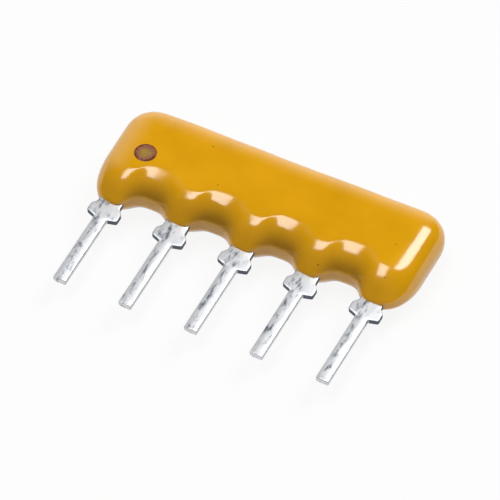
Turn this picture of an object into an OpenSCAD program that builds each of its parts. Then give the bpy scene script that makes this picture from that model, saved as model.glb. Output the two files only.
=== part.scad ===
// Resistor network with five leads in line, dip coated, lying on its back.
// X runs along the lead row from lead 1 to lead 5, Y runs up the body away from the lead tips,
// and Z points out of the marked face. The back of the coating rests on Z = 0.

/* [Leads] */
// Spacing of the leads along the row
pitch = 2.54; // [2.4:0.02:2.6]
// Thickness of the lead strip
lead_t = 0.2; // [0.15:0.01:0.25]
// Width of the pin below the shoulders
pin_w = 0.48; // [0.4:0.01:0.6]
// Length of the pin below the shoulders
pin_l = 3.14; // [2.5:0.02:4]
// Radius on the corners of the pin's tip
tip_r = 0.04; // [0.02:0.01:0.1]
// Width across the two shoulder ears
shoulder_w = 1.17; // [1.1:0.01:1.3]
// Height of an ear's outer side
ear_h = 0.34; // [0.25:0.01:0.4]
// Rise of an ear's underside from the pin to its outer corner
ear_rise = 0.12; // [0.05:0.01:0.15]
// Length over which an ear runs up into the neck
ear_run = 0.2; // [0.12:0.01:0.25]
// Radius on the corners of an ear
ear_r = 0.07; // [0.03:0.01:0.09]
// Width of the neck that goes into the coating
neck_w = 0.86; // [0.76:0.01:0.92]
// Length of bare neck between the shoulders and the coating
neck_show = 0.16; // [0.12:0.01:0.3]
// Length of neck inside the coating, up to where the clip splits
neck_cover = 0.33; // [0.25:0.01:0.4]

/* [Clip] */
// Width of the middle tine, which grips the back of the substrate
middle_tine_w = 0.32; // [0.24:0.01:0.4]
// Gap sheared between the middle tine and its neighbours
tine_slit = 0.03; // [0.02:0.01:0.06]
// Length over which a tine bends out to the substrate's face
tine_jog = 0.36; // [0.3:0.01:0.45]
// Radius inside the bends of a tine
tine_bend_r = 0.1; // [0.05:0.01:0.14]
// Gap from the clip's bend to the substrate's lower edge
clip_gap = 0.12; // [0.1:0.01:0.2]
// Length of a tine along the substrate's face
tine_grip = 0.95; // [0.7:0.01:1]
// Height of the solder beside a tine
solder_h = 0.16; // [0.1:0.01:0.2]
// Run-out of a solder fillet around its joint
solder_slope = 0.1; // [0.05:0.01:0.12]
// Rim of bare pad left around a solder joint
solder_rim = 0.05; // [0.03:0.01:0.07]

/* [Substrate and films] */
// Height of the substrate
substrate_h = 2.7; // [2.6:0.02:3]
// Thickness of the substrate
substrate_t = 0.64; // [0.5:0.01:0.8]
// Bare rim of the substrate around the prints
print_rim = 0.1; // [0.06:0.01:0.14]
// Thickness of the printed conductor
conductor_t = 0.02; // [0.01:0.005:0.04]
// Width of a pad
pad_w = 1.2; // [1.1:0.01:1.4]
// Height of a pad
pad_h = 1.2; // [1.15:0.01:1.3]
// Width of the conductor's rail and of its riser from lead 1
rail_w = 0.32; // [0.2:0.01:0.4]
// Width of a resistor film
resistor_w = 0.9; // [0.7:0.01:1.1]
// Thickness of a resistor film
resistor_t = 0.02; // [0.01:0.005:0.04]
// Lap of a resistor over the conductors at its ends
resistor_lap = 0.12; // [0.08:0.01:0.15]
// Width of the laser-trim cut
trim_w = 0.05; // [0.03:0.01:0.1]
// Depth of the laser-trim cut into a resistor's side
trim_l = 0.4; // [0.2:0.01:0.6]
// Thickness of the glass over the resistors
glaze_t = 0.02; // [0.01:0.005:0.04]
// Overhang of the glass past the resistors
glaze_rim = 0.06; // [0.03:0.01:0.09]

/* [Coating] */
// Coating in front of and behind the substrate
coat_face = 0.66; // [0.56:0.01:0.8]
// Coating past each end of the substrate
coat_end = 0.39; // [0.3:0.01:0.6]
// Coating above the substrate's top edge
coat_top = 0.65; // [0.5:0.01:0.8]
// Coating below the substrate's lower edge, at the middle of an arch
coat_arch = 0.32; // [0.24:0.01:0.38]
// Depth of the rounding along the top edge
top_roll = 0.85; // [0.7:0.01:1.1]
// Depth of the rounding at the ends
end_roll = 0.95; // [0.8:0.01:1.2]
// Depth of the rounding over an arch, up from the lower edge
arch_roll = 1.15; // [0.9:0.01:1.4]
// Depth of the rounding over a tongue, up from its tip
tongue_roll = 1.16; // [0.9:0.01:1.3]
// Coating past each side of a neck, half way up its tongue
tongue_side = 0.14; // [0.07:0.01:0.2]
// Squareness of a tongue, from a soft wave to nearly a step
tongue_power = 3; // [2.5:0.1:5]
// Slimness of a tongue, from a round nose to a thin wedge
tongue_taper = 2; // [1:0.1:3]
// Thickness of the coating on a lead's face where a tongue ends
tongue_film = 0.03; // [0.02:0.01:0.08]

/* [Fineness] */
// Slices of the coating along one pitch
slices_per_pitch = 20; // [12:2:28]
// Slices around each rounded end of the coating
end_slices = 10; // [6:1:14]
// Steps around each rounded edge of a slice
roll_steps = 7; // [5:1:10]
// Steps around each rounded corner of the leads
corner_steps = 5; // [3:1:8]

/* [Hidden] */

lead_count = 5;
coat_colour = "#DCA010";
alumina_colour = "#EFEBE0";
silver_colour = "#C9C6BE";
resistor_colour = "#2E2B2A";
glaze_colour = "#3F7D5B";
tin_colour = "#C8CBD0";
solder_colour = "#A9ADB3";

// Heights along Y, above the shoulders' seat
ear_top = ear_rise + ear_h;
tongue_y = ear_top + ear_run + neck_show;
neck_top = tongue_y + neck_cover;
tine_root = neck_top - lead_t;
bend_1_y = neck_top + lead_t / 2;
bend_2_y = bend_1_y + tine_jog;
substrate_y = bend_2_y + clip_gap;
substrate_top = substrate_y + substrate_h;
tine_top = substrate_y + tine_grip;
pad_y = substrate_y + print_rim;
pad_top = pad_y + pad_h;
rail_top = substrate_top - print_rim;
rail_y = rail_top - rail_w;
resistor_y = pad_top - resistor_lap;
resistor_top = rail_y + resistor_lap;
arch_y = substrate_y - coat_arch;
arch_flat = arch_y + arch_roll;
tongue_flat = tongue_y + tongue_roll;
coat_top_y = substrate_top + coat_top;
top_flat = coat_top_y - top_roll;

// Levels along Z, from the middle of the substrate
print_z = substrate_t / 2;
film_z = print_z + conductor_t;
solder_z = film_z + solder_h;
glaze_z = film_z + resistor_t + glaze_t;
front_tine_z = film_z + lead_t / 2;
back_tine_z = -print_z - lead_t / 2;

// Lengths along X
substrate_l = (lead_count - 1) * pitch + pad_w + 2 * print_rim;
tongue_half_w = neck_w / 2 + tongue_side;

// Half sizes of the coating, and the place of the seat when the part is centred on Y
coat_half_t = substrate_t / 2 + coat_face;
coat_half_l = substrate_l / 2 + coat_end;
edge_half_t = lead_t / 2 + tongue_film;
seat_y = (pin_l - coat_top_y) / 2;

// The last slice at each end of the coating stops just short of a sharp line
end_angle = 86;

function lead_x(i) = (i - (lead_count + 1) / 2) * pitch;

function unit(v) = v / norm(v);

// Points of the corner at b between its neighbours a and c, rounded where b has a radius
function corner(a, b, c) =
  let (at = [b[0], b[1]],
       to_a = unit([a[0], a[1]] - at),
       to_c = unit([c[0], c[1]] - at),
       half = acos(to_a * to_c) / 2,
       middle = at + unit(to_a + to_c) * b[2] / sin(half),
       run = b[2] / tan(half),
       first = at + to_a * run - middle,
       last = at + to_c * run - middle)
  b[2] == 0 ? [at]
  : [for (i = [0:corner_steps]) middle + b[2] * unit(first + (last - first) * i / corner_steps)];

// Outline through [x, y, radius] corners
function rounded(corners) =
  let (n = len(corners))
  [for (i = [0:n - 1]) each corner(corners[(i + n - 1) % n], corners[i], corners[(i + 1) % n])];

// Puts a piece modelled from the seat and the substrate's middle into the part's frame
module placed() {
  translate([0, seat_y, coat_half_t]) children();
}

// Extrudes a shape drawn in Y and Z along X, from one side to the other
module along_x(from, to) {
  translate([from, 0, 0]) rotate([90, 0, 90]) linear_extrude(to - from) children();
}

// Extrudes a shape drawn in X and Z along Y, from below to above
module along_y(from, to) {
  translate([0, to, 0]) rotate([90, 0, 0]) linear_extrude(to - from) children();
}

// A film of the given thickness on the level z
module film(z, thickness) {
  translate([0, 0, z]) linear_extrude(thickness) children();
}

module block_2d(x0, x1, y0, y1) {
  translate([x0, y0]) square([x1 - x0, y1 - y0]);
}

// Flat outline of a lead from its tip to the top of its neck
module lead_outline() {
  right = [[pin_w / 2, -pin_l, tip_r],
           [pin_w / 2, 0, 0],
           [shoulder_w / 2, ear_rise, ear_r],
           [shoulder_w / 2, ear_top, ear_r],
           [neck_w / 2, ear_top + ear_run, ear_r],
           [neck_w / 2, neck_top, 0]];
  left = [for (i = [len(right) - 1:-1:0]) [-right[i][0], right[i][1], right[i][2]]];
  polygon(rounded(concat(right, left)));
}

// Side view of a tine that leaves the neck and bends out to the level z
module tine_side(z) {
  side = sign(z);
  lean = atan(abs(z) / tine_jog);
  shift = lead_t / 2 * tan(lean / 2);
  outer_r = tine_bend_r + lead_t;
  polygon(rounded([[tine_root, side * lead_t / 2, 0],
                   [bend_1_y - shift, side * lead_t / 2, tine_bend_r],
                   [bend_2_y - shift, z + side * lead_t / 2, outer_r],
                   [tine_top, z + side * lead_t / 2, tip_r],
                   [tine_top, z - side * lead_t / 2, tip_r],
                   [bend_2_y + shift, z - side * lead_t / 2, tine_bend_r],
                   [bend_1_y + shift, -side * lead_t / 2, outer_r],
                   [tine_root, -side * lead_t / 2, 0]]));
}

// A lead: pin, shoulders and neck in one flat strip, with its clip of three tines
module lead(i) {
  slit_x = middle_tine_w / 2 + tine_slit;
  color(tin_colour) placed() translate([lead_x(i), 0, 0]) {
    translate([0, 0, -lead_t / 2]) linear_extrude(lead_t) lead_outline();
    along_x(-middle_tine_w / 2, middle_tine_w / 2) tine_side(back_tine_z);
    along_x(-neck_w / 2, -slit_x) tine_side(front_tine_z);
    along_x(slit_x, neck_w / 2) tine_side(front_tine_z);
  }
}

// Side view of a solder joint from a to b, on a foot that reaches down to the level z
function joint_side(a, b, z) =
  concat(z < film_z ? [[a, z], [b, z]] : [],
         [[b, film_z], [b - solder_slope, solder_z], [a + solder_slope, solder_z], [a, film_z]]);

// A solder joint with sloped sides, still without the cut for its lead
module joint_block(i, z) {
  half_w = pad_w / 2 - solder_rim;
  y0 = pad_y;
  y1 = resistor_y - solder_rim;
  placed() translate([lead_x(i), 0, 0]) intersection() {
    along_y(y0, y1) polygon(joint_side(-half_w, half_w, z));
    along_x(-half_w, half_w) polygon(joint_side(y0, y1, z));
  }
}

// The solder between a lead's front tines and its pad
module solder(i) {
  color(solder_colour) difference() {
    joint_block(i, film_z);
    lead(i);
  }
}

module pad_2d(i) {
  block_2d(lead_x(i) - pad_w / 2, lead_x(i) + pad_w / 2, pad_y, pad_top);
}

module pad(i) {
  color(silver_colour) placed() film(print_z, conductor_t) pad_2d(i);
}

// The common conductor: lead 1's pad, a riser and a rail above every resistor
module bus_2d() {
  pad_2d(1);
  block_2d(lead_x(1) - rail_w / 2, lead_x(1) + rail_w / 2, pad_top, rail_top);
  block_2d(lead_x(1) - rail_w / 2, lead_x(lead_count) + pad_w / 2, rail_y, rail_top);
}

module bus_conductor() {
  color(silver_colour) placed() film(print_z, conductor_t) bus_2d();
}

// The laser's cut into the side of the resistor under lead i, through the glass as well
module trim_cut(i) {
  middle = (pad_top + rail_y) / 2;
  side = lead_x(i) + resistor_w / 2;
  film(print_z, glaze_z - print_z)
    block_2d(side - trim_l, side + glaze_rim, middle - trim_w / 2, middle + trim_w / 2);
}

// A resistor film, on the substrate between pad and rail and lapped over both
module resistor(n) {
  i = n + 1;
  color(resistor_colour) placed() difference() {
    along_x(lead_x(i) - resistor_w / 2, lead_x(i) + resistor_w / 2)
      polygon([[pad_top, print_z], [rail_y, print_z],
               [rail_y, film_z], [resistor_top, film_z],
               [resistor_top, film_z + resistor_t], [resistor_y, film_z + resistor_t],
               [resistor_y, film_z], [pad_top, film_z]]);
    trim_cut(i);
  }
}

// The glass over the resistors down to the level z, with the trim cuts but no room for the films
module glaze_block(z) {
  half_w = resistor_w / 2 + glaze_rim;
  placed() difference() {
    film(z, glaze_z - z)
      block_2d(lead_x(2) - half_w, lead_x(lead_count) + half_w, resistor_y, resistor_top);
    for (i = [2:lead_count]) trim_cut(i);
  }
}

// The glass printed over the resistors and the gaps between them
module overglaze() {
  color(glaze_colour) difference() {
    glaze_block(print_z);
    bus_conductor();
    for (i = [2:lead_count]) pad(i);
    for (n = [1:lead_count - 1]) resistor(n);
  }
}

module substrate() {
  color(alumina_colour) placed()
    translate([-substrate_l / 2, substrate_y, -substrate_t / 2])
      cube([substrate_l, substrate_h, substrate_t]);
}

// Share of a full tongue at x: 1 over a lead, 0 midway between leads
function tongue_share(x) =
  let (turn = 180 * (x - lead_x(1)) / pitch,
       half_turn = 180 * tongue_half_w / pitch,
       over = pow(abs(cos(turn)) * sin(half_turn), tongue_power),
       past = pow(abs(sin(turn)) * cos(half_turn), tongue_power))
  over / (over + past);

// Lower edge of the coating at x, which stays low past the outer leads
function coat_low(x) =
  let (inside = min(max(x, lead_x(1)), lead_x(lead_count)))
  arch_y + (tongue_y - arch_y) * tongue_share(inside);

// A slice of the coating at x, drawn in by the share s towards an end:
// from its lower edge up the front to the top edge, and down the back
function slice(x, s) =
  let (share = tongue_share(x),
       flat = arch_flat + (tongue_flat - arch_flat) * share,
       low_roll = flat - coat_low(x),
       taper = 1 + (tongue_taper - 1) * share,
       swell = coat_half_t - edge_half_t,
       step = 90 / roll_steps,
       lower = function (a) [flat - low_roll * s * sin(a),
                             s * (edge_half_t + swell * pow(cos(a), taper))],
       upper = function (a) [top_flat + top_roll * s * sin(a),
                             s * coat_half_t * cos(a)],
       front = concat([for (i = [roll_steps:-1:0]) lower(i * step)],
                      [for (i = [0:roll_steps - 1]) upper(i * step)]))
  concat([for (p = front) [x, p[0], p[1]]],
         [[x, top_flat + top_roll * s, 0]],
         [for (i = [len(front) - 1:-1:0]) [x, front[i][0], -front[i][1]]]);

// Places of the slices, as [x, s], from one end of the coating to the other
function stations() =
  let (straight = coat_half_l - end_roll,
       count = ceil(2 * straight / pitch * slices_per_pitch),
       end = [for (i = [end_slices:-1:1])
                let (a = end_angle * i / end_slices)
                [straight + end_roll * sin(a), cos(a)]],
       middle = [for (i = [0:count]) [-straight + 2 * straight * i / count, 1]])
  concat([for (p = end) [-p[0], p[1]]], middle, [for (i = [len(end) - 1:-1:0]) end[i]]);

// Skin through a row of rings that all have the same number of points
module loft(rings) {
  n = len(rings[0]);
  last = len(rings) - 1;
  sides = [for (k = [0:last - 1], i = [0:n - 1])
             let (a = k * n + i, b = k * n + (i + 1) % n)
             each [[a, b, b + n], [a, b + n, a + n]]];
  caps = [[for (i = [n - 1:-1:0]) i], [for (i = [0:n - 1]) last * n + i]];
  polyhedron([for (ring = rings) each ring], concat(sides, caps));
}

// The dipped coating, less the room of all that it encloses: the plate, the prints and joints from
// the plate's middle up, and the leads
module coating() {
  color(coat_colour) difference() {
    placed() loft([for (p = stations()) slice(p[0], p[1])]);
    substrate();
    placed() film(0, film_z) {
      bus_2d();
      for (i = [2:lead_count]) pad_2d(i);
    }
    glaze_block(0);
    for (i = [1:lead_count]) joint_block(i, 0);
    for (i = [1:lead_count]) lead(i);
  }
}

coating();
substrate();
bus_conductor();
pad(2);  // pad_2
pad(3);  // pad_3
pad(4);  // pad_4
pad(5);  // pad_5
resistor(1);  // resistor_1
resistor(2);  // resistor_2
resistor(3);  // resistor_3
resistor(4);  // resistor_4
overglaze();
lead(1);  // lead_1
lead(2);  // lead_2
lead(3);  // lead_3
lead(4);  // lead_4
lead(5);  // lead_5
solder(1);  // solder_1
solder(2);  // solder_2
solder(3);  // solder_3
solder(4);  // solder_4
solder(5);  // solder_5
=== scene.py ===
import math

import bmesh
import bpy
from bpy.props import FloatProperty, FloatVectorProperty, PointerProperty
from mathutils import Matrix, Vector, noise
from mathutils.bvhtree import BVHTree


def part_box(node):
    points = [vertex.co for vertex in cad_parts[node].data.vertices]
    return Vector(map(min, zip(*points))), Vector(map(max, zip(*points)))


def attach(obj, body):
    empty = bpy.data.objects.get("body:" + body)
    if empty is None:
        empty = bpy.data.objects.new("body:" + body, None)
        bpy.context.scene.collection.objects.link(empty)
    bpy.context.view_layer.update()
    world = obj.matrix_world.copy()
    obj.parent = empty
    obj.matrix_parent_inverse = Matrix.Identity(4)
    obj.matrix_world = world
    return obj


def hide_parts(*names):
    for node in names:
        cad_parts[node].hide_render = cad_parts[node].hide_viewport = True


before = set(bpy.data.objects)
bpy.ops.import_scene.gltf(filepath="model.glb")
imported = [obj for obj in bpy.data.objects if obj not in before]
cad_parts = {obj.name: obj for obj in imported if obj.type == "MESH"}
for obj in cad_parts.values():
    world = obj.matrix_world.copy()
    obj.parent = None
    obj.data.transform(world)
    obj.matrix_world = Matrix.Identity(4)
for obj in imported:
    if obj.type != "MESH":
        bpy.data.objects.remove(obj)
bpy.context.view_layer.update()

bl_info = {
    "name": "Resistor network",
    "version": (1, 0, 0),
    "blender": (4, 5, 0),
    "location": "3D View > Sidebar > Network",
    "description": "Dresses a dip-coated resistor network and sets its stage",
    "category": "Object",
}

MM = 0.001
LEADS = sorted(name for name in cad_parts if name.startswith("lead_"))
LEAD_BOXES = [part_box(name) for name in LEADS]
LEAD_X = [(low.x + high.x) / 2 for low, high in LEAD_BOXES]
PITCH = (LEAD_X[-1] - LEAD_X[0]) / (len(LEADS) - 1)
TIP_Y = LEAD_BOXES[0][0].y
COAT_LOW, COAT_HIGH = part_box("coating")
MID_Z = (COAT_LOW.z + COAT_HIGH.z) / 2
COAT_HALF_T = (COAT_HIGH.z - COAT_LOW.z) / 2
COAT_HALF_L = (COAT_HIGH.x - COAT_LOW.x) / 2

# Points closer together than this are one
WELD = 0.0005 * MM
# Faces that meet at a larger angle than this have a sharp edge between them
SHARP_ANGLE = math.radians(50)

# Steps of the coating's skin: around an end, along the middle, and from the lower edge to the top
END_STEPS = 26
MIDDLE_STEPS = 208
UNDER_STEPS, ROLL_STEPS, FACE_STEPS, TOP_STEPS = 3, 44, 24, 30
# Where the painted shade over an arch is darkest, as a share of its roll, and how far it reaches
# below and above
SHADE_AT, SHADE_BELOW, SHADE_ABOVE = 0.27, 0.09, 0.24
# How much paler the coating is made at a tongue's tip, and how far up its roll
TIP_PALING, TIP_PALING_REACH = 0.4, 0.3
# Rounds of smoothing, and the distance from the middle plane at which they start
SMOOTH_ROUNDS, SMOOTH_FROM = 8, 0.3 * MM
# Width of the hollows in the coating's skin, the shares of the slow and the quick ones in their
# depth, and the distance from the middle plane at which they are full
HOLLOW_WIDTH = 1.8 * MM
SLOW_SHARE, QUICK_SHARE = 0.35, 0.15
HOLLOW_FULL = 0.5 * MM

# Steps around a lead's section: across a face, round an edge and down a side
LEAD_FACE_STEPS, LEAD_EDGE_STEPS, LEAD_SIDE_STEPS = 16, 4, 2
# Steps round a pin's tip and round a corner of the outline, and the gap between sections
TIP_STEPS, CORNER_STEPS, SECTION_GAP = 4, 6, 0.03 * MM
# Width of the ripples in the tin, and how many times longer than wide they are
RIPPLE_WIDTH, RIPPLE_STRETCH = 0.22 * MM, 2
# How grey a pin's sides are, left so by the shears, beside the ears' sides, which are all grey, in
# part as a painted dark reflection
PIN_GREY = 0.15
# Length over which a strip turns flat before it meets its clip, and the gap that is bridged there
FLATTEN, SPLICE_GAP = 0.2 * MM, 0.01 * MM

# Widths of the rings that make up the dot, from its rim inwards, as shares of its radius
DOT_RINGS = (0.04, 0.06, 0.1, 0.15, 0.15, 0.15, 0.15, 0.1)
DOT_SEGMENTS = 72
# Share of the ink's thickness at the rim and at the middle, and how far from the middle they are
RIM_HEAP, RIM_FROM = 0.2, 0.98
MIDDLE_HEAP, MIDDLE_TO = 0.8, 0.6
# How far the dot strays from a true round, as a share of its radius, and the width of a stray
STRAY, STRAY_WIDTH = 0.02, 0.15 * MM

FLOOR_RADIUS = 300 * MM
FLOOR_SEGMENTS = 64
# Direction, distance, width and height of each pane, seen from the part
OVERHEAD_PANE = (Vector((-0.15, -0.08, 0.98)), 300 * MM, 110 * MM, 210 * MM)
RIGHT_PANE = (Vector((0.36, 0.5, 0.78)), 350 * MM, 140 * MM, 180 * MM)
CLIP_START, CLIP_END = 10 * MM, 2000 * MM


def linear(hex_colour):
    """An sRGB hex colour as linear red, green and blue."""
    channels = [int(hex_colour[i:i + 2], 16) / 255 for i in (1, 3, 5)]
    return tuple(c / 12.92 if c <= 0.04045 else ((c + 0.055) / 1.055) ** 2.4 for c in channels)


def length(name, description, millimetres):
    """A property that holds a length."""
    return FloatProperty(name=name, description=description, default=millimetres * MM,
                         precision=5, subtype="DISTANCE", unit="LENGTH")


def colour(name, description, hex_colour):
    """A property that holds a colour."""
    return FloatVectorProperty(name=name, description=description, default=linear(hex_colour),
                               size=3, min=0.0, max=1.0, subtype="COLOR")


class CoatingSettings(bpy.types.PropertyGroup):
    """The dipped coating."""
    epoxy: colour("Epoxy", "Colour of the coating", "#DFA000")
    speck: colour("Specks", "Colour of the specks in the coating", "#5A3A10")
    arch_height: length("Arch height", "Lower edge of an arch above the shoulders' seat", 1.33)
    arch_roll: length("Arch roll", "Depth of the rounding over an arch", 1.15)
    tongue_roll: length("Tongue roll", "Depth of the rounding over a tongue", 1.16)
    top_roll: length("Top roll", "Depth of the rounding along the top edge", 1.2)
    end_roll: length("End roll", "Depth of the rounding at the ends", 1.3)
    end_shift: length("End shift", "How far the ends lie off the row's middle", 0.06)
    crest: length("Crest", "Swell of the top edge beside the first lead", 0.06)
    roll_fullness: FloatProperty(
        name="Roll fullness", description="From a round edge to a square one", default=2.4)
    tongue_height: length("Tongue height", "End of a tongue above the shoulders' seat", 0.82)
    tongue_lift: FloatVectorProperty(
        name="Tongue lift", description="How much higher each tongue ends",
        default=(-0.1 * MM, 0.07 * MM, 0.01 * MM, 0.0, -0.1 * MM), size=5,
        precision=5, subtype="XYZ_LENGTH", unit="LENGTH")
    tongue_shift: length("Tongue shift", "From a lead's middle to its tongue's middle", -0.05)
    ridge_shift: length("Ridge shift", "From a tongue's middle to the top of its ridge", 0.1)
    tongue_half_width: length("Tongue half width", "From a lead's middle to a tongue's side", 0.57)
    tongue_squareness: FloatProperty(
        name="Tongue squareness", description="From a soft wave to nearly a step", default=3.0)
    arch_slimness: FloatProperty(
        name="Arch slimness", description="From a round lip to a thin wedge", default=1.5)
    tongue_slimness: FloatProperty(
        name="Tongue slimness", description="From a round nose to a thin wedge", default=2.0)
    film: length("Film", "Thickness of the coating where a tongue ends", 0.05)
    waviness: length("Waviness", "Depth of the hollows in the coating's skin", 0.045)


class LeadSettings(bpy.types.PropertyGroup):
    """The tinned leads."""
    bright: colour("Bright tin", "Colour of the clean tin", "#D5D7DA")
    dull: colour("Dull tin", "Colour of the grey patches in the tin", "#747A86")
    sheared_and_shaded: colour("Sheared sides", "Colour of the thin tin on the sheared sides", "#565B66")
    pin_length: length("Pin length", "Length of a pin below the shoulders' seat", 3.14)
    thickness: length("Thickness", "Thickness of the strip", 0.2)
    pin_width: length("Pin width", "Width of a pin", 0.48)
    shoulder_width: length("Shoulder width", "Width across the shoulder ears", 1.17)
    neck_width: length("Neck width", "Width of the neck", 0.86)
    ear_rise: length("Ear rise", "Rise of an ear's underside", 0.12)
    ear_top: length("Ear top", "Top of an ear's outer side above the seat", 0.46)
    ear_end: length("Ear end", "Where an ear has run into the neck", 0.66)
    corner: length("Corner", "Radius on the corners of the ears", 0.07)
    tip: length("Tip", "Rounding of the pin's cut end", 0.025)
    edge: length("Edge", "Radius on the strip's long edges", 0.035)
    crown: length("Crown", "Height of the tin over the middle of the strip", 0.016)
    twist: FloatProperty(name="Twist", description="Turn of a strip about its length",
                         default=math.radians(6), subtype="ANGLE", unit="ROTATION")
    waviness: length("Waviness", "Height of the ripples in the tin", 0.005)
    splice: length("Splice", "Where the strip meets its clip, inside the coating", 1.08)


class DotSettings(bpy.types.PropertyGroup):
    """The printed dot that shows which lead is the first."""
    ink: colour("Ink", "Colour of the ink", "#94624A")
    rim: colour("Rim", "Colour of the thicker ink at the rim", "#6A331C")
    middle: colour("Middle", "Colour of the thinner ink at the middle", "#A08238")
    diameter: length("Diameter", "Width of the dot", 0.81)
    place_x: length("Place along the row", "Middle of the dot along the row", -4.67)
    place_y: length("Place above the seat", "Middle of the dot above the seat", 2.7)
    thickness: length("Thickness", "Thickness of the ink", 0.006)


class InsideSettings(bpy.types.PropertyGroup):
    """What the coating encloses."""
    alumina: colour("Alumina", "Colour of the plate", "#EFEBE0")
    silver: colour("Silver", "Colour of the conductors", "#CBC7BD")
    resistor: colour("Resistor", "Colour of the resistor films", "#2B2928")
    glass: colour("Glass", "Colour of the glass over the resistors", "#3F7D5B")
    solder: colour("Solder", "Colour of the solder joints", "#B4B8BD")


class StageSettings(bpy.types.PropertyGroup):
    """Floor, light and camera."""
    floor: colour("Floor", "Colour of the floor", "#E6E6E6")
    overhead: FloatProperty(name="Overhead pane", description="Light from the soft pane overhead",
                            default=0.525)
    right: FloatProperty(name="Right pane", description="Light from the soft pane on the right",
                         default=0.56)
    azimuth: FloatProperty(name="Azimuth", description="Camera's turn round the part",
                           default=math.radians(26.43), subtype="ANGLE", unit="ROTATION")
    elevation: FloatProperty(name="Elevation", description="Camera's height over the horizon",
                             default=math.radians(49.73), subtype="ANGLE", unit="ROTATION")
    distance: length("Distance", "Camera's distance from the part", 329.0)
    lens: FloatProperty(name="Lens", description="Camera's focal length in millimetres",
                        default=681.4, subtype="DISTANCE_CAMERA")
    aim_right: length("Aim right", "Camera's aim to the right of the middle lead", 0.678)
    aim_up: length("Aim up", "Camera's aim above the middle lead", 0.591)


def add_node(tree, kind, inputs=None, **settings):
    """Adds a node with its settings, and fills or links its inputs."""
    made = tree.nodes.new(kind)
    for name, value in settings.items():
        setattr(made, name, value)
    for socket, value in (inputs or {}).items():
        if isinstance(value, bpy.types.NodeSocket):
            tree.links.new(value, made.inputs[socket])
        else:
            made.inputs[socket].default_value = value
    return made


def new_material(name):
    """An empty material, its node tree and its Object coordinates."""
    material = bpy.data.materials.new(name)
    material.use_nodes = True
    tree = material.node_tree
    tree.nodes.clear()
    return material, tree, add_node(tree, "ShaderNodeTexCoord").outputs["Object"]


def dipped_epoxy(settings):
    # Filled epoxy, dipped and baked: opaque mustard with a wet gloss, a faint orange peel, slow
    # changes of tone where the dip ran, painted shade in darker arcs over the arches, paler tips on
    # the leads, and a few dark specks of filler
    flow_width, speck_gap, peel_width, peel_depth = 1.6 * MM, 0.7 * MM, 0.3 * MM, 0.0025 * MM
    shade_strength = 0.42
    material, tree, coords = new_material("dipped_epoxy")
    flow = add_node(tree, "ShaderNodeTexNoise",
                    {"Vector": coords, "Scale": 1 / flow_width, "Detail": 2.0})
    tone = add_node(tree, "ShaderNodeMapRange",
                    {"Value": flow.outputs["Fac"], "From Min": 0.3, "From Max": 0.7,
                     "To Min": 0.93, "To Max": 1.05})
    # The attribute named thin holds painted shade: darker arcs over the arches, and paler tongues'
    # tips below 0
    thin = add_node(tree, "ShaderNodeAttribute", attribute_name="thin").outputs["Fac"]
    shade = add_node(tree, "ShaderNodeMath",
                     {0: thin, 1: -shade_strength, 2: tone.outputs["Result"]},
                     operation="MULTIPLY_ADD")
    body = add_node(tree, "ShaderNodeHueSaturation",
                    {"Color": (*settings.epoxy, 1.0), "Value": shade.outputs["Value"]})
    filler = add_node(tree, "ShaderNodeTexVoronoi", {"Vector": coords, "Scale": 1 / speck_gap})
    spot = add_node(tree, "ShaderNodeMapRange",
                    {"Value": filler.outputs["Distance"], "From Min": 0.03, "From Max": 0.06,
                     "To Min": 0.8, "To Max": 0.0})
    base = add_node(tree, "ShaderNodeMix",
                    {0: spot.outputs["Result"], 6: body.outputs["Color"],
                     7: (*settings.speck, 1.0)}, data_type="RGBA")
    peel = add_node(tree, "ShaderNodeTexNoise",
                    {"Vector": coords, "Scale": 1 / peel_width, "Detail": 1.0})
    gloss = add_node(tree, "ShaderNodeMapRange",
                     {"Value": flow.outputs["Fac"], "From Min": 0.3, "From Max": 0.7,
                      "To Min": 0.12, "To Max": 0.17})
    skin = add_node(tree, "ShaderNodeBump",
                    {"Height": peel.outputs["Fac"], "Distance": peel_depth})
    shader = add_node(tree, "ShaderNodeBsdfPrincipled",
                      {"Base Color": base.outputs[2], "Roughness": gloss.outputs["Result"],
                       "IOR": 1.7, "Normal": skin.outputs["Normal"]})
    add_node(tree, "ShaderNodeOutputMaterial", {"Surface": shader.outputs["BSDF"]})
    return material


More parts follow.
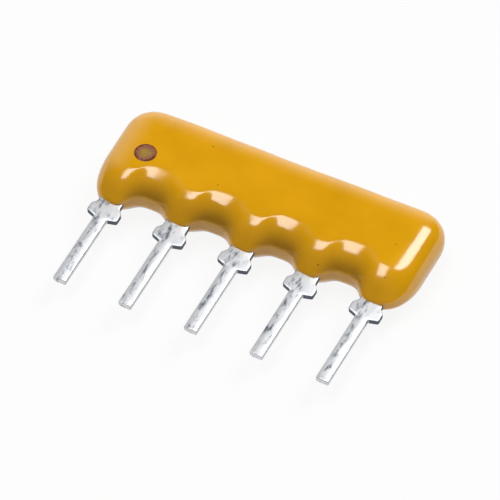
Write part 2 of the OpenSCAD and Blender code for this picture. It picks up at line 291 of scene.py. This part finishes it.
def hot_dip_tin(settings):
    # Tin laid on by dipping: bright metal with a soft sheen, ripples that run along the strip, grey
    # patches that gather in a streak beside its middle as a painted dark reflection, and grey
    # sides, partly bare from the shears and partly a painted dark reflection
    patch_width, grain_width, grain_depth = 0.16 * MM, 0.09 * MM, 0.003 * MM
    streak_at, streak_reach, patch_edge = -0.35, 0.75, 0.16
    material, tree, coords = new_material("hot_dip_tin")
    along = add_node(tree, "ShaderNodeMapping", {"Vector": coords, "Scale": (1.0, 0.35, 1.0)})
    patches = add_node(tree, "ShaderNodeTexNoise",
                       {"Vector": along.outputs["Vector"], "Scale": 1 / patch_width, "Detail": 4.0,
                        "Roughness": 0.6})
    # The attribute runs from -1 to 1 across a face, and on to 2 either way where a side is grey
    across = add_node(tree, "ShaderNodeAttribute", attribute_name="across").outputs["Fac"]
    # The streak of grey patches beside the middle of each strip is a painted dark reflection
    from_streak = add_node(tree, "ShaderNodeMath", {0: across, 1: streak_at}, operation="SUBTRACT")
    off_streak = add_node(tree, "ShaderNodeMath", {0: from_streak.outputs["Value"]},
                          operation="ABSOLUTE")
    start = add_node(tree, "ShaderNodeMapRange",
                     {"Value": off_streak.outputs["Value"], "From Min": 0.0,
                      "From Max": streak_reach, "To Min": 0.45, "To Max": 0.59})
    full = add_node(tree, "ShaderNodeMath", {0: start.outputs["Result"], 1: patch_edge},
                    operation="ADD")
    patches_and_painted_streak = add_node(tree, "ShaderNodeMapRange",
                        {"Value": patches.outputs["Fac"], "From Min": start.outputs["Result"],
                         "From Max": full.outputs["Value"]})
    # Grey sides: partly bare metal from the shears, partly a painted dark reflection
    reach = add_node(tree, "ShaderNodeMath", {0: across}, operation="ABSOLUTE")
    sheared_and_shaded = add_node(tree, "ShaderNodeMapRange",
                       {"Value": reach.outputs["Value"], "From Min": 1.0, "From Max": 2.0})
    face = add_node(tree, "ShaderNodeMix",
                    {0: patches_and_painted_streak.outputs["Result"], 6: (*settings.bright, 1.0),
                     7: (*settings.dull, 1.0)}, data_type="RGBA")
    base = add_node(tree, "ShaderNodeMix",
                    {0: sheared_and_shaded.outputs["Result"], 6: face.outputs[2],
                     7: (*settings.sheared_and_shaded, 1.0)}, data_type="RGBA")
    gloss = add_node(tree, "ShaderNodeMapRange",
                     {"Value": patches_and_painted_streak.outputs["Result"], "To Min": 0.46, "To Max": 0.42})
    grain = add_node(tree, "ShaderNodeTexNoise",
                     {"Vector": along.outputs["Vector"], "Scale": 1 / grain_width, "Detail": 3.0})
    ripple = add_node(tree, "ShaderNodeBump",
                      {"Height": grain.outputs["Fac"], "Distance": grain_depth})
    shader = add_node(tree, "ShaderNodeBsdfPrincipled",
                      {"Base Color": base.outputs[2], "Metallic": 1.0,
                       "Roughness": gloss.outputs["Result"], "Normal": ripple.outputs["Normal"]})
    add_node(tree, "ShaderNodeOutputMaterial", {"Surface": shader.outputs["BSDF"]})
    return material


def printed_ink(settings, place):
    # Pad-printed epoxy ink: satin brown, drawn thin at the middle and heaped up at the rim
    blotch_width, unevenness = 0.08 * MM, 0.9
    material, tree, coords = new_material("printed_ink")
    radius = settings.diameter / 2
    centred = add_node(tree, "ShaderNodeMapping",
                       {"Vector": coords, "Location": (-place.x / radius, -place.y / radius, 0.0),
                        "Scale": (1 / radius, 1 / radius, 0.0)})
    blotch = add_node(tree, "ShaderNodeTexNoise",
                      {"Vector": coords, "Scale": 1 / blotch_width, "Detail": 3.0})
    reach = add_node(tree, "ShaderNodeVectorMath", {0: centred.outputs["Vector"]},
                     operation="LENGTH")
    uneven = add_node(tree, "ShaderNodeMath",
                      {0: blotch.outputs["Fac"], 1: unevenness, 2: -unevenness / 2},
                      operation="MULTIPLY_ADD")
    level = add_node(tree, "ShaderNodeMath",
                     {0: reach.outputs["Value"], 1: uneven.outputs["Value"]}, operation="ADD")
    tint = add_node(tree, "ShaderNodeValToRGB", {"Fac": level.outputs["Value"]})
    # Colours by their distance from the middle, as a share of the radius
    stops = ((0.25, settings.middle), (0.6, settings.ink), (0.78, settings.ink),
             (0.9, settings.rim))
    ramp = tint.color_ramp.elements
    while len(ramp) < len(stops):
        ramp.new(0.5)
    for stop, (position, shade) in zip(ramp, stops):
        stop.position = position
        stop.color = (*shade, 1.0)
    shader = add_node(tree, "ShaderNodeBsdfPrincipled",
                      {"Base Color": tint.outputs["Color"], "Roughness": 0.2, "IOR": 1.45})
    add_node(tree, "ShaderNodeOutputMaterial", {"Surface": shader.outputs["BSDF"]})
    return material


def fired_alumina(settings):
    # Sintered 96 % alumina: matt off-white with a sugary grain, drawn coarse enough to show
    grain_width, grain_depth = 0.05 * MM, 0.003 * MM
    material, tree, coords = new_material("fired_alumina")
    grain = add_node(tree, "ShaderNodeTexNoise",
                     {"Vector": coords, "Scale": 1 / grain_width, "Detail": 2.0})
    tone = add_node(tree, "ShaderNodeMapRange",
                    {"Value": grain.outputs["Fac"], "To Min": 0.9, "To Max": 1.06})
    base = add_node(tree, "ShaderNodeHueSaturation",
                    {"Color": (*settings.alumina, 1.0), "Value": tone.outputs["Result"]})
    tooth = add_node(tree, "ShaderNodeBump",
                     {"Height": grain.outputs["Fac"], "Distance": grain_depth})
    shader = add_node(tree, "ShaderNodeBsdfPrincipled",
                      {"Base Color": base.outputs["Color"], "Roughness": 0.62, "IOR": 1.76,
                       "Normal": tooth.outputs["Normal"]})
    add_node(tree, "ShaderNodeOutputMaterial", {"Surface": shader.outputs["BSDF"]})
    return material


def fired_silver(settings):
    # Screen-printed silver paste, fired: pale satin metal with the mesh of the screen in it
    mesh_width, mesh_depth = 0.08 * MM, 0.002 * MM
    material, tree, coords = new_material("fired_silver")
    mesh = add_node(tree, "ShaderNodeTexVoronoi", {"Vector": coords, "Scale": 1 / mesh_width})
    gloss = add_node(tree, "ShaderNodeMapRange",
                     {"Value": mesh.outputs["Distance"], "To Min": 0.32, "To Max": 0.5})
    weave = add_node(tree, "ShaderNodeBump",
                     {"Height": mesh.outputs["Distance"], "Distance": mesh_depth})
    tone = add_node(tree, "ShaderNodeMapRange",
                    {"Value": mesh.outputs["Distance"], "To Min": 0.95, "To Max": 1.05})
    base = add_node(tree, "ShaderNodeHueSaturation",
                    {"Color": (*settings.silver, 1.0), "Value": tone.outputs["Result"]})
    shader = add_node(tree, "ShaderNodeBsdfPrincipled",
                      {"Base Color": base.outputs["Color"], "Metallic": 1.0,
                       "Roughness": gloss.outputs["Result"], "Normal": weave.outputs["Normal"]})
    add_node(tree, "ShaderNodeOutputMaterial", {"Surface": shader.outputs["BSDF"]})
    return material


def ruthenium_glaze(settings):
    # Thick-film resistor paste, fired: near-black glass with a pitted gloss, its pits drawn coarse
    # enough to show
    pit_width, pit_depth = 0.04 * MM, 0.002 * MM
    material, tree, coords = new_material("ruthenium_glaze")
    pits = add_node(tree, "ShaderNodeTexNoise",
                    {"Vector": coords, "Scale": 1 / pit_width, "Detail": 3.0})
    tone = add_node(tree, "ShaderNodeMapRange",
                    {"Value": pits.outputs["Fac"], "To Min": 0.7, "To Max": 1.3})
    base = add_node(tree, "ShaderNodeHueSaturation",
                    {"Color": (*settings.resistor, 1.0), "Value": tone.outputs["Result"]})
    skin = add_node(tree, "ShaderNodeBump",
                    {"Height": pits.outputs["Fac"], "Distance": pit_depth})
    shader = add_node(tree, "ShaderNodeBsdfPrincipled",
                      {"Base Color": base.outputs["Color"], "Roughness": 0.35,
                       "Normal": skin.outputs["Normal"]})
    add_node(tree, "ShaderNodeOutputMaterial", {"Surface": shader.outputs["BSDF"]})
    return material


def overglaze_glass(settings):
    # Low-melting green glass, printed and fired thin: clear enough to show the films under it
    flow_width = 0.2 * MM
    material, tree, coords = new_material("overglaze_glass")
    flow = add_node(tree, "ShaderNodeTexNoise",
                    {"Vector": coords, "Scale": 1 / flow_width, "Detail": 2.0})
    tone = add_node(tree, "ShaderNodeMapRange",
                    {"Value": flow.outputs["Fac"], "To Min": 0.85, "To Max": 1.15})
    base = add_node(tree, "ShaderNodeHueSaturation",
                    {"Color": (*settings.glass, 1.0), "Value": tone.outputs["Result"]})
    shader = add_node(tree, "ShaderNodeBsdfPrincipled",
                      {"Base Color": base.outputs["Color"], "Roughness": 0.15, "IOR": 1.55,
                       "Alpha": 0.7})
    add_node(tree, "ShaderNodeOutputMaterial", {"Surface": shader.outputs["BSDF"]})
    return material


def reflowed_solder(settings):
    # Tin alloy melted round the clip: soft grey metal with a frosted grain
    grain_width, grain_depth = 0.06 * MM, 0.003 * MM
    material, tree, coords = new_material("reflowed_solder")
    grain = add_node(tree, "ShaderNodeTexVoronoi", {"Vector": coords, "Scale": 1 / grain_width})
    gloss = add_node(tree, "ShaderNodeMapRange",
                     {"Value": grain.outputs["Distance"], "To Min": 0.22, "To Max": 0.42})
    tone = add_node(tree, "ShaderNodeMapRange",
                    {"Value": grain.outputs["Distance"], "To Min": 0.92, "To Max": 1.05})
    base = add_node(tree, "ShaderNodeHueSaturation",
                    {"Color": (*settings.solder, 1.0), "Value": tone.outputs["Result"]})
    frost = add_node(tree, "ShaderNodeBump",
                     {"Height": grain.outputs["Distance"], "Distance": grain_depth})
    shader = add_node(tree, "ShaderNodeBsdfPrincipled",
                      {"Base Color": base.outputs["Color"], "Metallic": 1.0,
                       "Roughness": gloss.outputs["Result"], "Normal": frost.outputs["Normal"]})
    add_node(tree, "ShaderNodeOutputMaterial", {"Surface": shader.outputs["BSDF"]})
    return material


def floor_card(settings):
    # Smooth white card, its fibre drawn coarser than it is, burnt out to white by the light on it
    # with a soft shadow left in
    fibre_width, burnt_out = 0.4 * MM, 0.9
    material, tree, coords = new_material("floor_card")
    fibre = add_node(tree, "ShaderNodeTexNoise", {"Vector": coords, "Scale": 1 / fibre_width})
    tone = add_node(tree, "ShaderNodeMapRange",
                    {"Value": fibre.outputs["Fac"], "To Min": 0.99, "To Max": 1.01})
    base = add_node(tree, "ShaderNodeHueSaturation",
                    {"Color": (*settings.floor, 1.0), "Value": tone.outputs["Result"]})
    card = add_node(tree, "ShaderNodeBsdfDiffuse", {"Color": base.outputs["Color"]})
    white = add_node(tree, "ShaderNodeEmission", {"Color": (1.0, 1.0, 1.0, 1.0)})
    ray = add_node(tree, "ShaderNodeLightPath")
    mirrored = add_node(tree, "ShaderNodeMath",
                        {0: ray.outputs["Is Glossy Ray"], 1: ray.outputs["Is Transmission Ray"]},
                        operation="MAXIMUM")
    seen = add_node(tree, "ShaderNodeMath",
                    {0: ray.outputs["Is Camera Ray"], 1: mirrored.outputs["Value"]},
                    operation="MAXIMUM")
    share = add_node(tree, "ShaderNodeMath", {0: seen.outputs["Value"], 1: burnt_out},
                     operation="MULTIPLY")
    both = add_node(tree, "ShaderNodeMixShader",
                    {0: share.outputs["Value"], 1: card.outputs["BSDF"],
                     2: white.outputs["Emission"]})
    add_node(tree, "ShaderNodeOutputMaterial", {"Surface": both.outputs["Shader"]})
    return material


def seat_y():
    """Place of the shoulders' seat along the leads."""
    return TIP_Y + bpy.context.scene.network_leads.pin_length


def add_piece(name, bm, material, nodes=()):
    """Makes an object of the finished mesh, and hangs it on the frame."""
    mesh = bpy.data.meshes.new(name)
    bm.to_mesh(mesh)
    bm.free()
    mesh.shade_smooth()
    mesh.set_sharp_from_angle(angle=SHARP_ANGLE)
    mesh.materials.append(material)
    piece = bpy.data.objects.new(name, mesh)
    bpy.context.collection.objects.link(piece)
    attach(piece, "root")
    if nodes:
        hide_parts(*nodes)
    return piece


def tongue_share(settings, x):
    """1 over a lead, 0 midway between leads."""
    turn = math.pi * (x - settings.tongue_shift - LEAD_X[0]) / PITCH
    half_turn = math.pi * settings.tongue_half_width / PITCH
    over = (abs(math.cos(turn)) * math.sin(half_turn)) ** settings.tongue_squareness
    past = (abs(math.sin(turn)) * math.cos(half_turn)) ** settings.tongue_squareness
    return over / (over + past)


def lower_edge(settings, x):
    """Height of the coating's lower edge above the seat."""
    first, last = (end + settings.tongue_shift for end in (LEAD_X[0], LEAD_X[-1]))
    inside = min(max(x, first), last)
    tip = settings.tongue_height + settings.tongue_lift[round((inside - first) / PITCH)]
    return settings.arch_height + (tip - settings.arch_height) * tongue_share(settings, inside)


def roll_share(settings, reach):
    """Share of the full thickness at a share of the way over a rounded edge."""
    return max(1 - reach ** settings.roll_fullness, 0) ** (1 / settings.roll_fullness)


def coat_station(settings, step):
    """Place along the row, and share of the full section, of a step from end to end."""
    straight = COAT_HALF_L - settings.end_roll
    last = 2 * END_STEPS + MIDDLE_STEPS
    if END_STEPS <= step <= last - END_STEPS:
        return straight * (2 * (step - END_STEPS) / MIDDLE_STEPS - 1), 1.0
    side = -1 if step < END_STEPS else 1
    reach = math.sin(math.pi / 2 * (1 - min(step, last - step) / END_STEPS))
    return side * (straight + settings.end_roll * reach), roll_share(settings, reach)


def coat_section(settings, x, share, step):
    """Height above the seat, and distance from the middle plane, of a step from edge to top."""
    lead_half_t = bpy.context.scene.network_leads.thickness / 2
    low = lower_edge(settings, x)
    tongue = tongue_share(settings, x - settings.ridge_shift)
    over_arch = settings.arch_height + settings.arch_roll
    over_tongue = settings.tongue_height + settings.tongue_roll
    face_low = over_arch + (over_tongue - over_arch) * tongue
    face_high = COAT_HIGH.y - seat_y() - settings.top_roll
    if step < UNDER_STEPS:
        return face_low - (face_low - low) * share, share * lead_half_t * step / UNDER_STEPS
    step -= UNDER_STEPS
    if step < ROLL_STEPS:
        angle = math.pi / 2 * (1 - step / ROLL_STEPS)
        fall = (face_low - low) * math.sin(angle)
        nose = 1 - min((face_low - low - fall) / settings.film, 1)
        edge = lead_half_t + settings.film * math.sqrt(1 - nose ** 2)
        taper = (settings.arch_slimness
                 + (settings.tongue_slimness - settings.arch_slimness) * tongue)
        swell = (COAT_HALF_T - lead_half_t - settings.film) * math.cos(angle) ** taper
        return face_low - fall * share, share * (edge + swell)
    step -= ROLL_STEPS
    if step < FACE_STEPS:
        return face_low + (face_high - face_low) * step / FACE_STEPS, share * COAT_HALF_T
    reach = math.sin(math.pi / 2 * (step - FACE_STEPS) / TOP_STEPS)
    crest_x = LEAD_X[0] + PITCH / 2
    swell = settings.crest * math.exp(-((x - crest_x) / PITCH) ** 2)
    return (face_high + (settings.top_roll + swell) * share * reach,
            share * COAT_HALF_T * roll_share(settings, reach))


def coat_painted_shade(settings, x, step):
    """Painted shade: above 0 in the darker arcs over an arch, below 0 where a tongue's tip is
    paler.
    """
    over_roll = (step - UNDER_STEPS) / ROLL_STEPS
    tongue = tongue_share(settings, min(max(x, LEAD_X[0]), LEAD_X[-1]))
    reach = SHADE_ABOVE if over_roll > SHADE_AT else SHADE_BELOW
    # The darker arcs over the arches are painted shade
    drawn = math.exp(-((over_roll - SHADE_AT) / reach) ** 2)
    tip_paling = TIP_PALING * math.exp(-(over_roll / TIP_PALING_REACH) ** 2)
    return drawn * (1 - tongue) - tip_paling * tongue


class NETWORK_OT_coating(bpy.types.Operator):
    """Lays the dipped coating's skin over the plate and the necks of the leads"""
    bl_idname = "network.coating"
    bl_label = "Coating"

    def execute(self, context):
        settings = context.scene.network_coating
        along = 2 * END_STEPS + MIDDLE_STEPS
        half = UNDER_STEPS + ROLL_STEPS + FACE_STEPS + TOP_STEPS
        bm = bmesh.new()
        # The attribute named thin holds painted shade over the arches, and paler tongues' tips
        shade_layer = bm.verts.layers.float.new("thin")
        bmesh.ops.create_grid(bm, x_segments=along, y_segments=2 * half, size=0.5)
        for vert in bm.verts:
            x, share = coat_station(settings, round((vert.co.x + 0.5) * along))
            x += settings.end_shift * (x / COAT_HALF_L) ** 2
            around = round((vert.co.y + 0.5) * 2 * half)
            step = min(around, 2 * half - around)
            up, out = coat_section(settings, x, share, step)
            vert[shade_layer] = coat_painted_shade(settings, x, step)
            side = 1 if around <= half else -1
            vert.co = (x, seat_y() + up, MID_Z + side * out)
        bmesh.ops.remove_doubles(bm, verts=bm.verts, dist=WELD)
        bmesh.ops.recalc_face_normals(bm, faces=bm.faces)
        thick = [v for v in bm.verts if abs(v.co.z - MID_Z) > SMOOTH_FROM]
        for _ in range(SMOOTH_ROUNDS):
            bmesh.ops.smooth_vert(bm, verts=thick, factor=0.5, use_axis_x=True, use_axis_y=True,
                                  use_axis_z=True)
        bm.normal_update()
        for vert in bm.verts:
            slow = SLOW_SHARE * noise.noise(vert.co / HOLLOW_WIDTH)
            quick = QUICK_SHARE * noise.noise(vert.co / (HOLLOW_WIDTH / 2))
            # The back is drawn in by as much as the skin may stand proud, to keep out of the floor
            inwards = (SLOW_SHARE + QUICK_SHARE) * max(-vert.normal.z, 0)
            depth = settings.waviness * (inwards + slow + quick)
            cover = min(abs(vert.co.z - MID_Z) / HOLLOW_FULL, 1)
            vert.co -= vert.normal * depth * cover
        add_piece("dipped_coating", bm, dipped_epoxy(settings), ["coating"])
        return {"FINISHED"}


def rounded_path(corners, steps):
    """Points along a path through (half width, height, radius) corners, its turns rounded."""
    path = [Vector(corners[0][:2])]
    for before, (across, up, radius), after in zip(corners, corners[1:], corners[2:]):
        at = Vector((across, up))
        back = (Vector(before[:2]) - at).normalized()
        on = (Vector(after[:2]) - at).normalized()
        half = back.angle(on) / 2
        middle = at + (back + on).normalized() * radius / math.sin(half)
        first = at + back * radius / math.tan(half) - middle
        last = at + on * radius / math.tan(half) - middle
        path += [middle + first.lerp(last, i / steps).normalized() * radius
                 for i in range(steps + 1)]
    return path + [Vector(corners[-1][:2])]


def spaced(path, gap):
    """The path's points again, at even distances."""
    lengths = [0.0]
    for a, b in zip(path, path[1:]):
        lengths.append(lengths[-1] + (b - a).length)
    count = math.ceil(lengths[-1] / gap)
    points, piece = [], 0
    for i in range(count + 1):
        along = lengths[-1] * i / count
        while piece < len(path) - 2 and lengths[piece + 1] < along:
            piece += 1
        share = (along - lengths[piece]) / (lengths[piece + 1] - lengths[piece])
        points.append(path[piece].lerp(path[piece + 1], share))
    return points


def lead_stations(settings):
    """Half width, height above the seat and drawn-in margin of each section, from the tip up."""
    pin, shoulder, neck = (w / 2 for w in (settings.pin_width, settings.shoulder_width,
                                           settings.neck_width))
    path = rounded_path([(pin, settings.tip - settings.pin_length, 0),
                         (pin, 0, settings.corner),
                         (shoulder, settings.ear_rise, settings.corner),
                         (shoulder, settings.ear_top, settings.corner),
                         (neck, settings.ear_end, settings.corner),
                         (neck, settings.splice, 0)], CORNER_STEPS)
    stations = []
    for i in range(TIP_STEPS):
        angle = math.pi / 2 * i / TIP_STEPS
        drawn_in = settings.tip * (1 - math.sin(angle))
        above_tip = settings.tip * (1 - math.cos(angle))
        stations.append((pin - drawn_in, above_tip - settings.pin_length, drawn_in))
    return stations + [(p.x, p.y, 0.0) for p in spaced(path, SECTION_GAP)]


def lead_section(settings, half_w, drawn_in, step):
    """Place across and above the strip's middle of a step around its section."""
    half_t = settings.thickness / 2 - drawn_in
    half_way = LEAD_FACE_STEPS + LEAD_EDGE_STEPS + LEAD_SIDE_STEPS + LEAD_EDGE_STEPS
    flip = 1 if step < half_way else -1
    step %= half_way
    flat = half_w - settings.edge
    if step <= LEAD_FACE_STEPS:
        across = flat * (2 * step / LEAD_FACE_STEPS - 1)
        return flip * across, flip * half_t
    step -= LEAD_FACE_STEPS
    side = half_t - settings.edge
    if step <= LEAD_EDGE_STEPS:
        angle = math.pi / 2 * step / LEAD_EDGE_STEPS
        return (flip * (flat + settings.edge * math.sin(angle)),
                flip * (side + settings.edge * math.cos(angle)))
    step -= LEAD_EDGE_STEPS
    if step <= LEAD_SIDE_STEPS:
        return flip * half_w, flip * side * (1 - 2 * step / LEAD_SIDE_STEPS)
    angle = math.pi / 2 * (step - LEAD_SIDE_STEPS) / LEAD_EDGE_STEPS
    return (flip * (flat + settings.edge * math.cos(angle)),
            flip * (-side - settings.edge * math.sin(angle)))


class NETWORK_OT_leads(bpy.types.Operator):
    """Draws each lead's strip with its crown of tin, and joins it to its clip"""
    bl_idname = "network.leads"
    bl_label = "Leads"

    def execute(self, context):
        settings = context.scene.network_leads
        tin = hot_dip_tin(settings)
        stations = lead_stations(settings)
        around = 2 * (LEAD_FACE_STEPS + 2 * LEAD_EDGE_STEPS + LEAD_SIDE_STEPS)
        splice_y = seat_y() + settings.splice
        for name, middle_x in zip(LEADS, LEAD_X):
            bm = bmesh.new()
            bm.from_mesh(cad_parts[name].data)
            place_across = bm.verts.layers.float.new("across")
            bmesh.ops.remove_doubles(bm, verts=bm.verts, dist=WELD)
            bmesh.ops.bisect_plane(bm, geom=bm.verts[:] + bm.edges[:] + bm.faces[:],
                                   plane_co=(0.0, splice_y + SPLICE_GAP, 0.0),
                                   plane_no=(0.0, 1.0, 0.0), clear_inner=True)
            grid = bmesh.ops.create_grid(bm, x_segments=around, y_segments=len(stations) - 1,
                                         size=0.5)["verts"]
            for vert in grid:
                half_w, up, drawn_in = stations[round((vert.co.y + 0.5) * (len(stations) - 1))]
                across, out = lead_section(settings, half_w, drawn_in,
                                           round((vert.co.x + 0.5) * around) % around)
                flat = half_w - settings.edge
                share = min(max(across / flat, -1), 1)
                # Grey sides: bare from the shears, and on the ears also a painted dark reflection
                grey = max(abs(across) - flat, 0) / settings.edge * (1 if up > 0 else PIN_GREY)
                vert[place_across] = share + math.copysign(grey, across)
                fade = min(max((settings.splice - up) / FLATTEN, 0), 1)
                place = Vector((middle_x + across, seat_y() + up, MID_Z + out))
                squeezed = Vector((place.x, place.y / RIPPLE_STRETCH, place.z))
                ripple = noise.noise(squeezed / RIPPLE_WIDTH)
                lift = (settings.crown + settings.waviness * ripple) * (1 - share ** 2)
                turn = across * math.tan(settings.twist)
                vert.co = place + Vector((0, 0, (math.copysign(lift, out) - turn) * fade))
            bmesh.ops.remove_doubles(bm, verts=bm.verts, dist=WELD)
            open_edges = [e for e in bm.edges if e.is_boundary]
            tip_edges = [e for e in open_edges if e.verts[0].co.y < seat_y()]
            bmesh.ops.holes_fill(bm, edges=tip_edges)
            bmesh.ops.bridge_loops(bm, edges=[e for e in open_edges if e not in set(tip_edges)])
            bmesh.ops.recalc_face_normals(bm, faces=bm.faces)
            add_piece("tinned_" + name, bm, tin, [name])
        return {"FINISHED"}


class NETWORK_OT_dot(bpy.types.Operator):
    """Prints the dot beside the first lead on the coating's face"""
    bl_idname = "network.dot"
    bl_label = "First-lead dot"

    def execute(self, context):
        settings = context.scene.network_dot
        place = Vector((settings.place_x, seat_y() + settings.place_y, 0.0))
        coat = BVHTree.FromObject(bpy.data.objects["dipped_coating"],
                                  context.evaluated_depsgraph_get())
        radius = settings.diameter / 2
        bm = bmesh.new()
        bmesh.ops.create_circle(bm, cap_ends=True, segments=DOT_SEGMENTS, radius=radius,
                                matrix=Matrix.Translation(place))
        for ring in DOT_RINGS:
            inner = max(bm.faces, key=lambda f: len(f.verts))
            bmesh.ops.inset_region(bm, faces=[inner], thickness=ring * radius, use_boundary=True)
        for vert in bm.verts:
            reach = (vert.co - place).length / radius
            stray = 1 + STRAY * noise.noise(vert.co / STRAY_WIDTH)
            vert.co = place + (vert.co - place) * stray
            hit = coat.ray_cast(vert.co + Vector((0, 0, 2 * COAT_HIGH.z)), Vector((0, 0, -1)))[0]
            heap = RIM_HEAP if reach > RIM_FROM else MIDDLE_HEAP if reach < MIDDLE_TO else 1
            vert.co.z = hit.z + settings.thickness * heap
        bmesh.ops.recalc_face_normals(bm, faces=bm.faces)
        if sum(f.normal.z for f in bm.faces) < 0:
            bmesh.ops.reverse_faces(bm, faces=bm.faces)
        bmesh.ops.solidify(bm, geom=bm.faces[:], thickness=2 * settings.thickness)
        bmesh.ops.recalc_face_normals(bm, faces=bm.faces)
        add_piece("first_lead_dot", bm, printed_ink(settings, place))
        return {"FINISHED"}


class NETWORK_OT_inside(bpy.types.Operator):
    """Gives the plate, films and joints inside the coating their finishes"""
    bl_idname = "network.inside"
    bl_label = "Inside"

    def execute(self, context):
        settings = context.scene.network_inside
        finishes = {"substrate": fired_alumina, "bus": fired_silver, "pad": fired_silver,
                    "resistor": ruthenium_glaze, "overglaze": overglaze_glass,
                    "solder": reflowed_solder}
        made = {}
        for name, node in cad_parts.items():
            kind = name.split("_")[0]
            if kind not in finishes:
                continue
            finish = finishes[kind]
            made[finish] = made.get(finish) or finish(settings)
            node.data.materials.clear()
            node.data.materials.append(made[finish])
        return {"FINISHED"}


def add_pane(name, level, direction, distance, width, height):
    """A lamp that faces the part, and lights a face turned to it to the given level."""
    lamp = bpy.data.lights.new(name, "AREA")
    lamp.shape = "RECTANGLE"
    lamp.size = width
    lamp.size_y = height
    lamp.energy = level * (math.pi * distance) ** 2
    stand = bpy.data.objects.new(name, lamp)
    bpy.context.collection.objects.link(stand)
    back = direction.normalized()
    right = Vector((0, 1, 0)).cross(back).normalized()
    turn = Matrix((right, back.cross(right), back)).transposed().to_4x4()
    stand.matrix_world = Matrix.Translation(Vector((0, 0, MID_Z)) + back * distance) @ turn


def dark_studio():
    # A dark room with white walls behind the part, low down and all the way up on the left, that
    # the coating's rolled edges mirror as pale rims. Each range is over one part of the direction
    wall_level = 1.5
    world = bpy.data.worlds.new("studio")
    world.use_nodes = True
    tree = world.node_tree
    tree.nodes.clear()
    way = add_node(tree, "ShaderNodeSeparateXYZ",
                   {"Vector": add_node(tree, "ShaderNodeTexCoord").outputs["Generated"]})
    behind = add_node(tree, "ShaderNodeMapRange",
                      {"Value": way.outputs["Y"], "From Min": 0.0, "From Max": 0.65})
    left = add_node(tree, "ShaderNodeMapRange",
                    {"Value": way.outputs["X"], "From Min": -0.33, "From Max": -0.72,
                     "To Max": 0.87})
    low = add_node(tree, "ShaderNodeMapRange",
                   {"Value": way.outputs["Z"], "From Min": 0.7, "From Max": 0.1})
    short_of_right = add_node(tree, "ShaderNodeMapRange",
                              {"Value": way.outputs["X"], "From Min": 0.3, "From Max": -0.05})
    walls = add_node(tree, "ShaderNodeMath",
                     {0: left.outputs["Result"], 1: low.outputs["Result"]}, operation="MAXIMUM")
    ended = add_node(tree, "ShaderNodeMath",
                     {0: walls.outputs["Value"], 1: short_of_right.outputs["Result"]},
                     operation="MULTIPLY")
    white = add_node(tree, "ShaderNodeMath",
                     {0: behind.outputs["Result"], 1: ended.outputs["Value"]},
                     operation="MULTIPLY")
    dark = add_node(tree, "ShaderNodeMapRange",
                    {"Value": way.outputs["Y"], "From Min": 0.0, "From Max": -0.4,
                     "To Min": 0.08, "To Max": 0.18})
    light = add_node(tree, "ShaderNodeMapRange",
                     {"Value": white.outputs["Value"], "To Min": dark.outputs["Result"],
                      "To Max": wall_level})
    room = add_node(tree, "ShaderNodeBackground", {"Strength": light.outputs["Result"]})
    add_node(tree, "ShaderNodeOutputWorld", {"Surface": room.outputs["Background"]})
    return world


class NETWORK_OT_stage(bpy.types.Operator):
    """Sets the floor, the studio's light and the camera"""
    bl_idname = "network.stage"
    bl_label = "Stage"

    def execute(self, context):
        scene = context.scene
        settings = scene.network_stage
        scene.view_settings.view_transform = "Standard"
        bm = bmesh.new()
        bmesh.ops.create_circle(bm, cap_ends=True, segments=FLOOR_SEGMENTS, radius=FLOOR_RADIUS)
        mesh = bpy.data.meshes.new("floor")
        bm.to_mesh(mesh)
        bm.free()
        mesh.materials.append(floor_card(settings))
        floor = bpy.data.objects.new("floor", mesh)
        context.collection.objects.link(floor)

        add_pane("overhead_pane", settings.overhead, *OVERHEAD_PANE)
        add_pane("right_pane", settings.right, *RIGHT_PANE)
        scene.world = dark_studio()

        a, e = settings.azimuth, settings.elevation
        back = Vector((math.sin(a) * math.cos(e), -math.cos(a) * math.cos(e), math.sin(e)))
        right = Vector((math.cos(a), math.sin(a), 0.0))
        up = back.cross(right)
        lead_face = Vector((0.0, seat_y(), MID_Z + scene.network_leads.thickness / 2))
        camera = bpy.data.objects.new("camera", bpy.data.cameras.new("camera"))
        context.collection.objects.link(camera)
        camera.data.lens = settings.lens
        camera.data.clip_start, camera.data.clip_end = CLIP_START, CLIP_END
        camera.matrix_world = Matrix.Translation(
            lead_face + right * settings.aim_right + up * settings.aim_up
            + back * settings.distance) @ Matrix((right, up, back)).transposed().to_4x4()
        scene.camera = camera
        return {"FINISHED"}


class NETWORK_PT_panel(bpy.types.Panel):
    """Lists the pieces with their settings"""
    bl_idname = "NETWORK_PT_panel"
    bl_label = "Resistor network"
    bl_space_type = "VIEW_3D"
    bl_region_type = "UI"
    bl_category = "Network"

    def draw(self, context):
        for operator, group in PIECES:
            box = self.layout.box()
            box.operator(operator.bl_idname)
            settings = getattr(context.scene, group)
            for name in settings.__annotations__:
                box.prop(settings, name)


PIECES = ((NETWORK_OT_coating, "network_coating"), (NETWORK_OT_leads, "network_leads"),
          (NETWORK_OT_dot, "network_dot"), (NETWORK_OT_inside, "network_inside"),
          (NETWORK_OT_stage, "network_stage"))
GROUPS = {"network_coating": CoatingSettings, "network_leads": LeadSettings,
          "network_dot": DotSettings, "network_inside": InsideSettings,
          "network_stage": StageSettings}
CLASSES = (*GROUPS.values(), *(operator for operator, _ in PIECES), NETWORK_PT_panel)


def register():
    for cls in CLASSES:
        bpy.utils.register_class(cls)
    for name, group in GROUPS.items():
        setattr(bpy.types.Scene, name, PointerProperty(type=group))


def unregister():
    for name in GROUPS:
        delattr(bpy.types.Scene, name)
    for cls in reversed(CLASSES):
        bpy.utils.unregister_class(cls)


def main():
    register()
    bpy.ops.network.coating()
    bpy.ops.network.leads()
    bpy.ops.network.dot()
    bpy.ops.network.inside()
    bpy.ops.network.stage()


if __name__ == "__main__":
    main()
